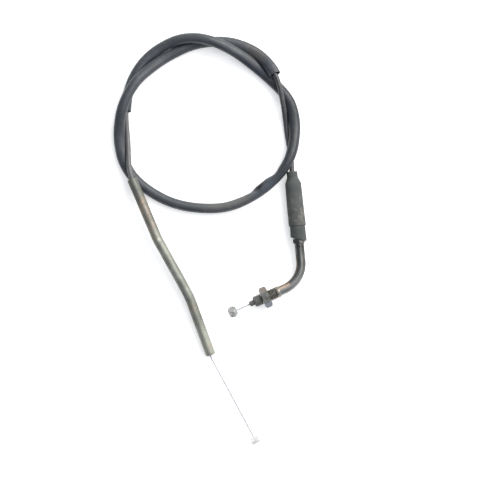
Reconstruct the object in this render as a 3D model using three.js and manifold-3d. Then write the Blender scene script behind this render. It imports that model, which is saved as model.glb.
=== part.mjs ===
// A motorcycle throttle cable, lying on a bench in a loose coil. Millimetres, +Z up, table at z = 0.
//
// Handlebar end: cast nipple on a stranded wire, plastic nozzle, threaded end with a lock nut, a
// 72 degree elbow tube, and an in-line adjuster under a rubber boot.
// Middle: a conduit (jacket, steel armour, liner, wire), most of it inside a soft protective sleeve.
// Carburettor end: a long bent guide tube, the bare wire and a small cast nipple.
//
// The frame is seen from above: X to the right, Y away from the viewer's feet. The origin is on the
// table, below the middle of the box that holds the rigid fittings.

import * as THREE from "three";
import { mergeVertices } from "three/addons/utils/BufferGeometryUtils.js";
import Module from "manifold-3d";

const wasm = await Module();
wasm.setup();

// ---------------------------------------------------------------- driving dimensions

const GAP = 0.3; // between pieces that touch on the real cable
const ROUND = 24; // sides of a turned piece
const TUBE_SIDES = 16;
const CORD_SIDES = 8;
const ELBOW_STEPS = 18;
const GUIDE_STEPS = 16;
const CARB_WIRE_STEPS = 12;
const HOLE_SIDES = 12; // of a nipple's wire hole
const OVERLAP = 1; // of solids that are joined, or cut from one another

const WIRE_R = 0.75; // 1.5 mm stranded steel wire
const CONDUIT = {
  linerBore: 0.97,
  linerR: 1.25,
  armourBore: 1.4,
  armourR: 1.75,
  jacketBore: 1.9,
  jacketR: 2.2,
};
const SLEEVE = { bore: 3.3, radius: 4.2 };

// Adjuster, measured down its axis from the top of the boot.
const AXIS_HEIGHT = 8; // of the adjuster, elbow and nozzle, set by the lock nut's flat on the table
const BOOT_TOP = new THREE.Vector3(63.6, 117.1, AXIS_HEIGHT);
const BOOT_HEADING = THREE.MathUtils.degToRad(-84.2);
const BOOT = {
  length: 57.3,
  neckR: 4.7,
  neckEnd: 5.1,
  shoulderR: 6.9,
  shoulderEnd: 10.3,
  bellyR: 7.35,
  stepAt: 46.2,
  cuffR: 6.6,
  cuffEndR: 6.75,
  neckBore: 3.0,
  neckBoreEnd: 10.3,
  bore: 5.85,
};
const CONDUIT_SEAT = 20; // where the conduit stops in the adjuster
const BARREL = {
  start: 12.3,
  end: 53.6,
  radius: 5.2,
  socketR: 3.5,
  threadBore: 3.6,
  seat: 1.3, // from the conduit's end to the wall that its ferrule stops at
  wall: 1.7, // thickness of that wall
  wallHoleR: 1.6,
  countersink: 1,
};
const FRONT_FERRULE = { bore: 2.55, holeR: 1.17, proud: 1, floor: 1 };
const JAM_NUT = { across: 9.5, thick: 3.4 };
const SCREW = { across: 10, head: 3.4, shankR: 3.3, shank: 20, bore: 1.6, pocketR: 4.3, pocket: 2.9 };

// Elbow tube: 8 mm tube, bent once.
const ELBOW = { radius: 4, bore: 2.75, bendR: 23.5, turn: THREE.MathUtils.degToRad(72), corner: 93.8 };
const ELBOW_LINER = { radius: 2.45, bore: 1.35 };

// Handlebar end, measured inwards from the tip of the nozzle.
const NOZZLE = {
  tipR: 2.7,
  tipChamfer: 0.5,
  tip: 4.2,
  bodyR: 4.6,
  bodyChamfer: 0.8,
  body: 11.3,
  spigotR: 2.3,
  spigot: 16,
  bore: 1.3,
};
const THREADED = {
  start: 11.6,
  radius: 4.92,
  chamfer: 0.6,
  threadEnd: 24.5,
  collar: 25,
  collarR: 4.85,
  end: 27.4,
  bore: 2.7,
  pocketR: 4.3,
  pocket: 2.3,
};
const NUT = { start: 11.6, thick: 6.5, across: 16, bore: 5.25 };
const TIP_FROM_CORNER = 49.6; // nozzle tip to the corner where the elbow's two straight runs meet
const GRIP_NIPPLE = { radius: 3.6, length: 6.8, distance: 16, lean: THREE.MathUtils.degToRad(50) };
const GRIP_WIRE_INSIDE = 21.5; // keeps clear of the bend when the wire is pushed in
const NIPPLE_HOLE_R = 1.1;

// Guide tube: 8.5 mm tube with two gentle bends. It leans on the coil at its top and on the table
// at its mouth.
const GUIDE = { radius: 4.25, bore: 3.25, bendR: 75 };
const GUIDE_POINTS = [
  [-72.6, 110.6, 13.1],
  [-51.2, 59.6, 10.2],
  [-24.3, 10.9, 7.3],
  [-5.7, -39.8, 4.3],
].map((p) => new THREE.Vector3(...p));
const GUIDE_FERRULE = { radius: 3.0, bore: 2.45, from: 3.2, to: 15 };
const WIRE_IN_GUIDE = [0.22, 0.45, 0.7]; // shares of the tube's length where the wire is on its axis

// Carburettor end.
const CARB_NIPPLE = { radius: 2.75, length: 7, at: new THREE.Vector3(32.6, -113.1, 3.3) };
const CARB_WIRE_INSIDE = 26;
const CARB_WIRE_BEND_R = 60;
const CARB_WIRE_OFFSET = { side: -0.8, up: -0.4 }; // of the wire in the tube's mouth

// The conduit's route, from its seat in the adjuster into the mouth of the guide tube's top. It
// goes once and a half round the coil, over and under itself.
const ROUTE = [
  [65.6, 97.2, 8],
  [64.5, 108.1, 8],
  [63.6, 117.1, 8],
  [63.4, 129.0, 5.2],
  [60.6, 143.0, 2.6],
  [58.4, 160.0, 3.6],
  [55.5, 177.5, 10.4],
  [50.0, 198.5, 12.2],
  [34.5, 218.0, 5.6],
  [10.5, 228.2, 4.4],
  [-17.5, 227.0, 4.4],
  [-42.0, 216.6, 4.5],
  [-57.5, 205.3, 8.0],
  [-69.2, 193.8, 12.0],
  [-77.8, 179.0, 13.4],
  [-82.2, 166.0, 12.4],
  [-84.5, 149.0, 5.6],
  [-82.4, 131.5, 4.3],
  [-74.5, 115.0, 4.3],
  [-60.0, 101.8, 4.3],
  [-38.5, 90.5, 4.3],
  [-14.0, 86.0, 4.3],
  [10.0, 87.5, 4.3],
  [33.9, 98.5, 5.2],
  [49.5, 111.1, 9.4],
  [59.9, 124.6, 12.3],
  [65.2, 141.0, 9.6],
  [66.1, 160.0, 4.6],
  [62.0, 177.5, 4.4],
  [50.2, 191.7, 4.4],
  [30.7, 208.7, 5.2],
  [12.5, 220.6, 10.6],
  [-8.0, 228.9, 13.1],
  [-27.0, 230.8, 10.6],
  [-46.0, 224.9, 5.2],
  [-63.5, 211.2, 4.4],
  [-75.2, 190.5, 4.3],
  [-78.5, 168.5, 4.3],
  [-76.8, 145.0, 4.8],
  [-75.5, 127.0, 10.2],
  [-74.5, 115.2, 13.3],
  [-71.4, 107.8, 12.9],
].map((p) => new THREE.Vector3(...p));
const ROUTE_DIVISIONS = 4000; // for measuring along it
const STEP = 12.8; // of the conduit's facets along the route
const CONDUIT_STEPS = 64;
const LEAD_STEPS = 4; // the wire runs on from the conduit into the elbow
const TAIL_STEPS = 6; // and into the guide tube
const SLEEVE_RUN = { from: 105.5, to: 745.7, steps: 46 }; // distances along the conduit

const COLOURS = {
  zinc: { color: 0x8d8f8c, roughness: 0.45, metalness: 0.8 },
  darkPlated: { color: 0x4a4a44, roughness: 0.3, metalness: 0.9 },
  galvanised: { color: 0x84877a, roughness: 0.4, metalness: 0.8 },
  steelWire: { color: 0xa9abad, roughness: 0.4, metalness: 0.9 },
  blackPlastic: { color: 0x33332f, roughness: 0.6, metalness: 0 },
  vinyl: { color: 0x3b3f48, roughness: 0.6, metalness: 0 },
  rubber: { color: 0x4c4e4c, roughness: 0.85, metalness: 0 },
  nylon: { color: 0xdedac8, roughness: 0.5, metalness: 0 },
};

// ---------------------------------------------------------------- curves

// Straight runs through a list of corners, joined by round bends of one radius.
class BentPath extends THREE.Curve {
  constructor(corners, bendR) {
    super();
    this.runs = [];
    let from = corners[0];
    for (let i = 1; i < corners.length - 1; i++) {
      const a = corners[i].clone().sub(corners[i - 1]).normalize();
      const b = corners[i + 1].clone().sub(corners[i]).normalize();
      const angle = a.angleTo(b);
      const start = corners[i].clone().addScaledVector(a, -bendR * Math.tan(angle / 2));
      const inward = b.clone().addScaledVector(a, -a.dot(b)).normalize();
      this.line(from, start);
      this.runs.push({ length: bendR * angle, at: (s) => arcPoint(start, a, inward, bendR, s / bendR) });
      from = arcPoint(start, a, inward, bendR, angle);
    }
    this.line(from, corners[corners.length - 1]);
    this.length = this.runs.reduce((sum, run) => sum + run.length, 0);
  }

  line(from, to) {
    const length = from.distanceTo(to);
    this.runs.push({ length, at: (s) => from.clone().lerp(to, s / length) });
  }

  getPoint(t, target = new THREE.Vector3()) {
    let s = t * this.length;
    let i = 0;
    while (i < this.runs.length - 1 && s > this.runs[i].length) {
      s -= this.runs[i].length;
      i += 1;
    }
    return target.copy(this.runs[i].at(s));
  }
}

function arcPoint(start, along, inward, radius, angle) {
  return start
    .clone()
    .addScaledVector(along, radius * Math.sin(angle))
    .addScaledVector(inward, radius * (1 - Math.cos(angle)));
}

// The part of a curve between two distances from its start.
class Stretch extends THREE.Curve {
  constructor(curve, from, to) {
    super();
    Object.assign(this, { curve, from, to, total: curve.getLength() });
  }

  getPoint(t, target = new THREE.Vector3()) {
    const distance = this.from + (this.to - this.from) * t;
    return this.curve.getPointAt(distance / this.total, target);
  }
}

// ---------------------------------------------------------------- solids

function polygon(radius, sides, firstAngle = 0) {
  return Array.from({ length: sides }, (_, i) => {
    const angle = firstAngle + (i * 2 * Math.PI) / sides;
    return new THREE.Vector2(radius * Math.cos(angle), radius * Math.sin(angle));
  });
}

function section(radius, bore, sides) {
  const shape = new THREE.Shape(polygon(radius, sides));
  if (bore) shape.holes.push(new THREE.Path(polygon(bore, sides)));
  return shape;
}

function sweep(curve, steps, radius, bore, sides) {
  return new THREE.ExtrudeGeometry(section(radius, bore, sides), {
    steps,
    extrudePath: curve,
    bevelEnabled: false,
  });
}

// A turned piece about +Y from its outline, as [radius, distance] pairs that close on themselves.
function turned(outline, sides = ROUND) {
  const points = [...outline, outline[0]].map(([r, y]) => new THREE.Vector2(r, y));
  return new THREE.LatheGeometry(points, sides);
}

function ring(radius, bore, from, to, sides = ROUND) {
  return turned([[bore, from], [radius, from], [radius, to], [bore, to]], sides);
}

// A hexagon with a round hole, from y = 0 to y = thick. Flats face +Z and -Z, or corners do.
function hexagon(across, bore, thick, cornerUp = false) {
  const corners = polygon(across / Math.sqrt(3), 6, cornerUp ? Math.PI / 6 : 0);
  const shape = new THREE.Shape(corners);
  shape.holes.push(new THREE.Path(polygon(bore, ROUND)));
  const geometry = new THREE.ExtrudeGeometry(shape, { depth: thick, bevelEnabled: false });
  return geometry.rotateX(-Math.PI / 2);
}

function solid(geometry) {
  const bare = geometry.clone();
  bare.deleteAttribute("normal");
  bare.deleteAttribute("uv");
  const merged = mergeVertices(bare);
  return new wasm.Manifold(
    new wasm.Mesh({
      numProp: 3,
      vertProperties: merged.attributes.position.array,
      triVerts: new Uint32Array(merged.index.array),
    }),
  );
}

function geometryOf(manifold) {
  const { vertProperties, triVerts } = manifold.getMesh();
  const geometry = new THREE.BufferGeometry();
  geometry.setAttribute("position", new THREE.BufferAttribute(vertProperties, 3));
  geometry.setIndex(new THREE.BufferAttribute(triVerts, 1));
  geometry.computeVertexNormals();
  return geometry;
}

const cut = (a, b) => geometryOf(solid(a).subtract(solid(b)));
const join = (a, b) => geometryOf(solid(a).add(solid(b)));

// A cast barrel about +Z with a blind hole from its side to its middle, where the wire is held.
function nipple({ radius, length }) {
  const barrel = new THREE.CylinderGeometry(radius, radius, length, ROUND).rotateX(Math.PI / 2);
  const hole = new THREE.CylinderGeometry(NIPPLE_HOLE_R, NIPPLE_HOLE_R, 2 * radius, HOLE_SIDES);
  return cut(barrel, hole.translate(0, radius, 0));
}

// ---------------------------------------------------------------- the assembly

const cable = new THREE.Group();

function add(parent, name, geometry, colour) {
  const mesh = new THREE.Mesh(geometry, new THREE.MeshStandardMaterial(colour));
  mesh.name = name;
  parent.add(mesh);
  return mesh;
}

// A group whose +Y runs along a direction, for pieces measured along an axis.
function axisGroup(origin, direction) {
  const group = new THREE.Group();
  group.position.copy(origin);
  group.quaternion.setFromUnitVectors(new THREE.Vector3(0, 1, 0), direction);
  cable.add(group);
  return group;
}

const heading = (angle) => new THREE.Vector3(Math.cos(angle), Math.sin(angle), 0);
const bootAxis = heading(BOOT_HEADING);
const gripAxis = heading(BOOT_HEADING - ELBOW.turn);
const elbowCorner = BOOT_TOP.clone().addScaledVector(bootAxis, ELBOW.corner);
const nozzleTip = elbowCorner.clone().addScaledVector(gripAxis, TIP_FROM_CORNER);

// Adjuster and boot.
const adjuster = axisGroup(BOOT_TOP, bootAxis);

add(adjuster, "adjuster_boot", turned([
  [BOOT.neckBore, 0],
  [BOOT.neckR, 0],
  [BOOT.neckR, BOOT.neckEnd],
  [BOOT.shoulderR, BOOT.shoulderEnd],
  [BOOT.bellyR, BOOT.stepAt],
  [BOOT.cuffR, BOOT.stepAt + GAP],
  [BOOT.cuffEndR, BOOT.length],
  [BOOT.bore, BOOT.length],
  [BOOT.bore, BARREL.start - GAP],
  [BOOT.neckBore, BOOT.neckBoreEnd],
]), COLOURS.rubber);

const wallStart = CONDUIT_SEAT + BARREL.seat;
const wallEnd = wallStart + BARREL.wall;
add(adjuster, "adjuster_barrel", turned([
  [BARREL.socketR, BARREL.start],
  [BARREL.radius, BARREL.start],
  [BARREL.radius, BARREL.end],
  [BARREL.threadBore, BARREL.end],
  [BARREL.threadBore, wallEnd + BARREL.countersink],
  [BARREL.wallHoleR, wallEnd],
  [BARREL.wallHoleR, wallStart],
  [BARREL.socketR, wallStart],
]), COLOURS.zinc);

const ferruleRim = BARREL.start - FRONT_FERRULE.proud;
const ferruleEnd = CONDUIT_SEAT + FRONT_FERRULE.floor;
add(adjuster, "front_conduit_ferrule", turned([
  [FRONT_FERRULE.bore, ferruleRim],
  [BARREL.socketR - GAP, ferruleRim],
  [BARREL.socketR - GAP, ferruleEnd],
  [FRONT_FERRULE.holeR, ferruleEnd],
  [FRONT_FERRULE.holeR, CONDUIT_SEAT + GAP],
  [FRONT_FERRULE.bore, CONDUIT_SEAT + GAP],
]), COLOURS.zinc);

const jamNut = add(adjuster, "adjuster_lock_nut",
  hexagon(JAM_NUT.across, BARREL.threadBore, JAM_NUT.thick, true), COLOURS.zinc);
jamNut.position.y = BARREL.end + GAP;

// The screw's head starts below the boot, and its shank runs up into the barrel.
const screwHeadTop = BOOT.length + GAP;
const screwHead = hexagon(SCREW.across, SCREW.bore, SCREW.head, true).translate(0, screwHeadTop, 0);
const screwShank = ring(SCREW.shankR, SCREW.bore, screwHeadTop - SCREW.shank, screwHeadTop + OVERLAP);
const pocketFloor = screwHeadTop + SCREW.head - SCREW.pocket;
const pocketCut = SCREW.pocket + OVERLAP;
const screwPocket = new THREE.CylinderGeometry(SCREW.pocketR, SCREW.pocketR, pocketCut, ROUND)
  .translate(0, pocketFloor + pocketCut / 2, 0);
add(adjuster, "adjuster_screw", cut(join(screwHead, screwShank), screwPocket), COLOURS.darkPlated);

// Elbow tube and its liner, from the screw's pocket to the threaded end's pocket.
const elbowStart = BOOT_TOP.clone().addScaledVector(bootAxis, pocketFloor + GAP);
const inwardFromTip = gripAxis.clone().negate();
const elbowEnd = nozzleTip.clone().addScaledVector(inwardFromTip, THREADED.end - THREADED.pocket + GAP);
const elbowPath = new BentPath([elbowStart, elbowCorner, elbowEnd], ELBOW.bendR);
add(cable, "elbow_tube",
  sweep(elbowPath, ELBOW_STEPS, ELBOW.radius, ELBOW.bore, TUBE_SIDES), COLOURS.darkPlated);
add(cable, "elbow_liner",
  sweep(elbowPath, ELBOW_STEPS, ELBOW_LINER.radius, ELBOW_LINER.bore, CORD_SIDES), COLOURS.nylon);

// Handlebar end.
const grip = axisGroup(nozzleTip, inwardFromTip);

add(grip, "threaded_end", turned([
  [THREADED.bore, THREADED.start],
  [THREADED.radius - THREADED.chamfer, THREADED.start],
  [THREADED.radius, THREADED.start + THREADED.chamfer],
  [THREADED.radius, THREADED.threadEnd],
  [THREADED.collarR, THREADED.collar],
  [THREADED.collarR, THREADED.end],
  [THREADED.pocketR, THREADED.end],
  [THREADED.pocketR, THREADED.end - THREADED.pocket],
  [THREADED.bore, THREADED.end - THREADED.pocket],
]), COLOURS.darkPlated);

add(grip, "end_cap", turned([
  [NOZZLE.bore, 0],
  [NOZZLE.tipR - NOZZLE.tipChamfer, 0],
  [NOZZLE.tipR, NOZZLE.tipChamfer],
  [NOZZLE.tipR, NOZZLE.tip],
  [NOZZLE.bodyR - NOZZLE.bodyChamfer, NOZZLE.tip],
  [NOZZLE.bodyR, NOZZLE.tip + NOZZLE.bodyChamfer],
  [NOZZLE.bodyR, NOZZLE.body],
  [NOZZLE.spigotR, NOZZLE.body],
  [NOZZLE.spigotR, NOZZLE.spigot],
  [NOZZLE.bore, NOZZLE.spigot],
]), COLOURS.blackPlastic);

const lockNut = add(grip, "lock_nut", hexagon(NUT.across, NUT.bore, NUT.thick), COLOURS.zinc);
lockNut.position.y = NUT.start;

const gripWire = new THREE.LineCurve3(
  new THREE.Vector3(0, -GRIP_NIPPLE.distance + GAP, 0),
  new THREE.Vector3(0, GRIP_WIRE_INSIDE, 0),
);
add(grip, "handlebar_wire", sweep(gripWire, 1, WIRE_R, 0, CORD_SIDES), COLOURS.steelWire);
const gripNipple = add(grip, "handlebar_nipple", nipple(GRIP_NIPPLE), COLOURS.zinc);
gripNipple.position.y = -GRIP_NIPPLE.distance;
gripNipple.rotation.y = -GRIP_NIPPLE.lean;

// Guide tube, and the ferrule in its top that the conduit stops in.
const guidePath = new BentPath(GUIDE_POINTS, GUIDE.bendR);
add(cable, "guide_tube",
  sweep(guidePath, GUIDE_STEPS, GUIDE.radius, GUIDE.bore, TUBE_SIDES), COLOURS.galvanised);
const guideAxis = GUIDE_POINTS[1].clone().sub(GUIDE_POINTS[0]).normalize();
const guideTop = axisGroup(GUIDE_POINTS[0], guideAxis);
add(guideTop, "rear_conduit_ferrule",
  ring(GUIDE_FERRULE.radius, GUIDE_FERRULE.bore, GUIDE_FERRULE.from, GUIDE_FERRULE.to), COLOURS.zinc);

// Bare wire and nipple at the carburettor end. The wire leaves the tube's mouth to one side and
// turns from the tube's direction to the nipple's.
const mouth = GUIDE_POINTS[3];
const mouthAxis = mouth.clone().sub(GUIDE_POINTS[2]).normalize();
const mouthSide = new THREE.Vector3(-mouthAxis.y, mouthAxis.x, 0).normalize();
const wireCorner = mouth
  .clone()
  .addScaledVector(mouthSide, CARB_WIRE_OFFSET.side)
  .add(new THREE.Vector3(0, 0, CARB_WIRE_OFFSET.up));
const wireStart = wireCorner.clone().addScaledVector(mouthAxis, -CARB_WIRE_INSIDE);
const wireAxis = CARB_NIPPLE.at.clone().sub(wireCorner).normalize();
const wireEnd = CARB_NIPPLE.at.clone().addScaledVector(wireAxis, -GAP);
const carbWirePath = new BentPath([wireStart, wireCorner, wireEnd], CARB_WIRE_BEND_R);
add(cable, "carb_wire", sweep(carbWirePath, CARB_WIRE_STEPS, WIRE_R, 0, CORD_SIDES), COLOURS.steelWire);
const carbEnd = axisGroup(CARB_NIPPLE.at, wireAxis.clone().negate());
const carbNipple = add(carbEnd, "carb_nipple", nipple(CARB_NIPPLE), COLOURS.zinc);
carbNipple.rotation.y = Math.PI / 2;

// Conduit layers, the wire in them and the sleeve, all on one centre line. The layers share their
// facets' stations, so that they nest.
const wireInElbow = BOOT_TOP.clone().addScaledVector(bootAxis, CONDUIT_SEAT + LEAD_STEPS * STEP);
const guideWire = WIRE_IN_GUIDE.map((t) => guidePath.getPoint(t));
const centreLine = new THREE.CatmullRomCurve3([wireInElbow, ...ROUTE, ...guideWire]);
centreLine.arcLengthDivisions = ROUTE_DIVISIONS;

function conduitLayer(name, radius, bore, colour, lead = 0, tail = 0) {
  const from = (LEAD_STEPS - lead) * STEP;
  const steps = CONDUIT_STEPS + lead + tail;
  const run = new Stretch(centreLine, from, from + steps * STEP);
  return add(cable, name, sweep(run, steps, radius, bore, CORD_SIDES), colour);
}

conduitLayer("conduit_jacket", CONDUIT.jacketR, CONDUIT.jacketBore, COLOURS.vinyl);
conduitLayer("conduit_armour", CONDUIT.armourR, CONDUIT.armourBore, COLOURS.steelWire);
conduitLayer("conduit_liner", CONDUIT.linerR, CONDUIT.linerBore, COLOURS.nylon);
conduitLayer("inner_wire", WIRE_R, 0, COLOURS.steelWire, LEAD_STEPS, TAIL_STEPS);

const sleeveLead = LEAD_STEPS * STEP;
const sleeveRun = new Stretch(centreLine, sleeveLead + SLEEVE_RUN.from, sleeveLead + SLEEVE_RUN.to);
add(cable, "protective_sleeve",
  sweep(sleeveRun, SLEEVE_RUN.steps, SLEEVE.radius, SLEEVE.bore, CORD_SIDES), COLOURS.vinyl);

export default cable;
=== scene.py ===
import math

import bmesh
import bpy
import numpy as np
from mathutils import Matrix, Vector, noise


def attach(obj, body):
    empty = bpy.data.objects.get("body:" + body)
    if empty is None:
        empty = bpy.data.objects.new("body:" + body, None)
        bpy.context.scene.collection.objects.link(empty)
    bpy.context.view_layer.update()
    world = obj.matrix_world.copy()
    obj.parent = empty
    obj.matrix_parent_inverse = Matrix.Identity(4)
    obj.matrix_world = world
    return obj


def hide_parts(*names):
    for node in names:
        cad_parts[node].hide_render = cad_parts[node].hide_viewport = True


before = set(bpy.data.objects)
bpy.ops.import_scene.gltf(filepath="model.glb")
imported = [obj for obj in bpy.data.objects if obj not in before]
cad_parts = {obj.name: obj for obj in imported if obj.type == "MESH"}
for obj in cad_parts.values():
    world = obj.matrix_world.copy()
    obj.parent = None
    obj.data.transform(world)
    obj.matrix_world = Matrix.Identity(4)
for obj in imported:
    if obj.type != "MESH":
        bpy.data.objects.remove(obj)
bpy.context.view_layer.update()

# ---------------------------------------------------------------- camera, straight above the cable

CAMERA_AT = (0.0193, 0.0540, 0.9989)
LENS = 85

camera = bpy.data.objects.new("camera", bpy.data.cameras.new("camera"))
camera.data.lens = LENS
camera.data.sensor_width = 36
camera.location = CAMERA_AT
bpy.context.scene.collection.objects.link(camera)
bpy.context.scene.camera = camera

# ---------------------------------------------------------------- driving dimensions, in metres

AXIS_HEIGHT = 0.008
WIRE_RADIUS = 0.00075
CONDUIT_RADIUS = 0.0022
SLEEVE_RADIUS = 0.0042
SLEEVE_BORE = 0.0033
SLEEVE_WALL = 0.0006  # at the least, in a dent
SLEEVE_CLEARANCE = 0.0002  # round the conduit, at the least
SLEEVE_SLANT = 0.0016  # how much shorter the sleeve is on top, at both ends
SLEEVE_SLANT_REACH = 0.0080
TUBE_EDGE = 0.0003  # rounding at the ends of the tubes

# The adjuster, measured down its axis from the top of the boot.
BOOT_TOP = np.array((0.0636, 0.1171, AXIS_HEIGHT))
BOOT_HEADING = math.radians(-84.2)
BOOT_LENGTH = 0.0573
BOOT_HANG = 0.0133  # the length at its lower end that hangs further down on one side
CONDUIT_SEAT = 0.0200
SCREW_HEAD_TOP = BOOT_LENGTH + 0.0003
SCREW_HEAD = 0.0034
SCREW_HEAD_ACROSS = 0.0100
SCREW_SHANK = 0.0200
SCREW_RADIUS = 0.0033
SCREW_BORE = 0.0016
SCREW_PITCH = 0.001

# The elbow tube.
ELBOW_RADIUS = 0.0040
ELBOW_BORE = 0.00275
ELBOW_BEND = 0.0235
ELBOW_TURN = math.radians(72)
ELBOW_CORNER = 0.0938
ELBOW_START = 0.0584

# The handlebar end, measured inwards from the nozzle's tip.
TIP_FROM_CORNER = 0.0496
NOZZLE_BORE = 0.0013
NOZZLE_NECK = 0.0023
NOZZLE_RADIUS = 0.0046
NOZZLE_LENGTH = 0.0160
THREAD_START = 0.0116
THREAD_RADIUS = 0.00492
THREAD_PITCH = 0.00125
COLLAR_START = 0.0250
COLLAR_RADIUS = 0.00485
COLLAR_END = 0.0274
BUSH_BORE = 0.0027
BUSH_POCKET_RADIUS = 0.0043
BUSH_POCKET = 0.0023
NUT_ACROSS = 0.0160
NUT_THICK = 0.0065
NUT_BORE = 0.00505
GRIP_NIPPLE_FROM_TIP = 0.0160
GRIP_NIPPLE_LEAN = math.radians(50)
GRIP_NIPPLE_RADIUS = 0.0036
GRIP_NIPPLE_LENGTH = 0.0068
GRIP_WIRE_INSIDE = 0.0215

# The guide tube, and the bare wire that leaves its mouth.
GUIDE_POINTS = np.array([
    (-0.0726, 0.1106, 0.0131),
    (-0.0512, 0.0596, 0.0102),
    (-0.0243, 0.0109, 0.0073),
    (-0.0057, -0.0398, 0.0043),
])
GUIDE_RADIUS = 0.00425
GUIDE_BORE = 0.00325
GUIDE_BEND = 0.075
CARB_NIPPLE_AT = np.array((0.0326, -0.1131, 0.0033))
CARB_NIPPLE_RADIUS = 0.00275
CARB_NIPPLE_LENGTH = 0.0070
CARB_WIRE_INSIDE = 0.0260
CARB_WIRE_BEND = 0.060
CARB_WIRE_SIDE = -0.0008  # where the wire lies in the mouth
CARB_WIRE_UP = -0.0004

# The conduit's route, from its seat in the adjuster into the top of the guide tube.
ROUTE = [
    (0.0656, 0.0972, 0.0080), (0.0645, 0.1081, 0.0080), (0.0636, 0.1171, 0.0080),
    (0.0634, 0.1290, 0.0052), (0.0606, 0.1430, 0.0026), (0.0584, 0.1600, 0.0036),
    (0.0555, 0.1775, 0.0104), (0.0500, 0.1985, 0.0122), (0.0345, 0.2180, 0.0056),
    (0.0105, 0.2282, 0.0044), (-0.0175, 0.2270, 0.0044), (-0.0420, 0.2166, 0.0045),
    (-0.0575, 0.2053, 0.0080), (-0.0692, 0.1938, 0.0120), (-0.0778, 0.1790, 0.0134),
    (-0.0822, 0.1660, 0.0124), (-0.0845, 0.1490, 0.0056), (-0.0824, 0.1315, 0.0043),
    (-0.0745, 0.1150, 0.0043), (-0.0600, 0.1018, 0.0043), (-0.0385, 0.0905, 0.0043),
    (-0.0140, 0.0860, 0.0043), (0.0100, 0.0875, 0.0043), (0.0339, 0.0985, 0.0052),
    (0.0495, 0.1111, 0.0094), (0.0599, 0.1246, 0.0123), (0.0652, 0.1410, 0.0096),
    (0.0661, 0.1600, 0.0046), (0.0620, 0.1775, 0.0044), (0.0502, 0.1917, 0.0044),
    (0.0307, 0.2087, 0.0052), (0.0125, 0.2206, 0.0106), (-0.0080, 0.2289, 0.0131),
    (-0.0270, 0.2308, 0.0106), (-0.0460, 0.2249, 0.0052), (-0.0635, 0.2112, 0.0044),
    (-0.0752, 0.1905, 0.0043), (-0.0785, 0.1685, 0.0043), (-0.0768, 0.1450, 0.0048),
    (-0.0755, 0.1270, 0.0102), (-0.0745, 0.1152, 0.0133), (-0.0714, 0.1078, 0.0129),
]
STEP = 0.0128  # of the CAD's facets along the route
CONDUIT_LENGTH = 64 * STEP
LEAD = 4 * STEP  # the centre line starts this far before the conduit, in the elbow
SLEEVE_FROM = 0.1055
SLEEVE_TO = 0.7457
KINK = 0.3515  # how far along the sleeve it is bent most sharply

# ---------------------------------------------------------------- lines and frames

UP = np.array((0, 0, 1))


def unit(v):
    return np.array(v, float) / np.linalg.norm(v)


def heading(angle):
    return np.array((math.cos(angle), math.sin(angle), 0.0))


def bell(x, centre, reach):
    """1 at the centre, falling smoothly to 0 on both sides."""
    return np.exp(-(((x - centre) / reach) ** 2))


class Line:
    """A curve as closely spaced points, read by the distance from its start."""

    def __init__(self, points):
        self.points = np.array(points, float)
        gaps = np.linalg.norm(np.diff(self.points, axis=0), axis=1)
        self.marks = np.concatenate([[0], np.cumsum(gaps)])
        self.length = self.marks[-1]

    def at(self, s):
        return np.stack([np.interp(s, self.marks, self.points[:, k]) for k in range(3)], -1)

    def softened(self, start, end, step=0.001, reach=0.005):
        """The part between two distances, with each point averaged over its surroundings."""
        offsets = np.linspace(-2, 2, 17)
        weights = np.exp(-(offsets**2) / 2)
        weights /= weights.sum()
        s = np.linspace(start, end, round((end - start) / step) + 1)
        return Line(sum(w * self.at(s + o * reach) for w, o in zip(weights, offsets)))

    def skin(self, s, sides, radius):
        """Rings of points round the line. radius is a number, or a function of distance and angle.
        Angle 0 is to the side, a quarter turn is up."""
        reach = 0.0004
        tangent = self.at(s + reach) - self.at(s - reach)
        tangent /= np.linalg.norm(tangent, axis=1, keepdims=True)
        side = np.cross(tangent, UP)
        side /= np.linalg.norm(side, axis=1, keepdims=True)
        up = np.cross(side, tangent)
        angle = np.linspace(0, 2 * math.pi, sides, endpoint=False)[None, :]
        far = radius(s[:, None], angle) if callable(radius) else radius + 0 * (s[:, None] + angle)
        out = np.cos(angle)[..., None] * side[:, None] + np.sin(angle)[..., None] * up[:, None]
        return self.at(s)[:, None] + far[..., None] * out


def curve_through(points, per_span=40):
    """The centripetal Catmull-Rom curve through the points."""
    p = np.array(points)
    p = np.vstack([2 * p[0] - p[1], p, 2 * p[-1] - p[-2]])
    knots = np.sqrt(np.linalg.norm(np.diff(p, axis=0), axis=1))
    t = np.linspace(0, 1, per_span, endpoint=False)[:, None]
    spans = []
    for i in range(1, len(p) - 2):
        a, b, c, d = p[i - 1 : i + 3]
        before, here, after = knots[i - 1 : i + 2]
        leave = ((b - a) / before - (c - a) / (before + here) + (c - b) / here) * here
        arrive = ((c - b) / here - (d - b) / (here + after) + (d - c) / after) * here
        spans.append(
            b * (2 * t**3 - 3 * t**2 + 1)
            + leave * (t**3 - 2 * t**2 + t)
            + c * (3 * t**2 - 2 * t**3)
            + arrive * (t**3 - t**2)
        )
    return Line(np.vstack([*spans, p[-2:-1]]))


def bent_line(corners, bend, step=0.0005):
    """Straight runs through the corners, joined by round bends of one radius."""
    points = [corners[0]]
    for before, corner, after in zip(corners, corners[1:], corners[2:]):
        a, b = unit(corner - before), unit(after - corner)
        angle = math.acos(a @ b)
        start = corner - a * bend * math.tan(angle / 2)
        inward = unit(b - a * (a @ b))
        for turn in np.linspace(0, angle, max(8, round(bend * angle / step))):
            points.append(start + a * bend * math.sin(turn) + inward * bend * (1 - math.cos(turn)))
    points.append(corners[-1])
    return Line(points)


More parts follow.
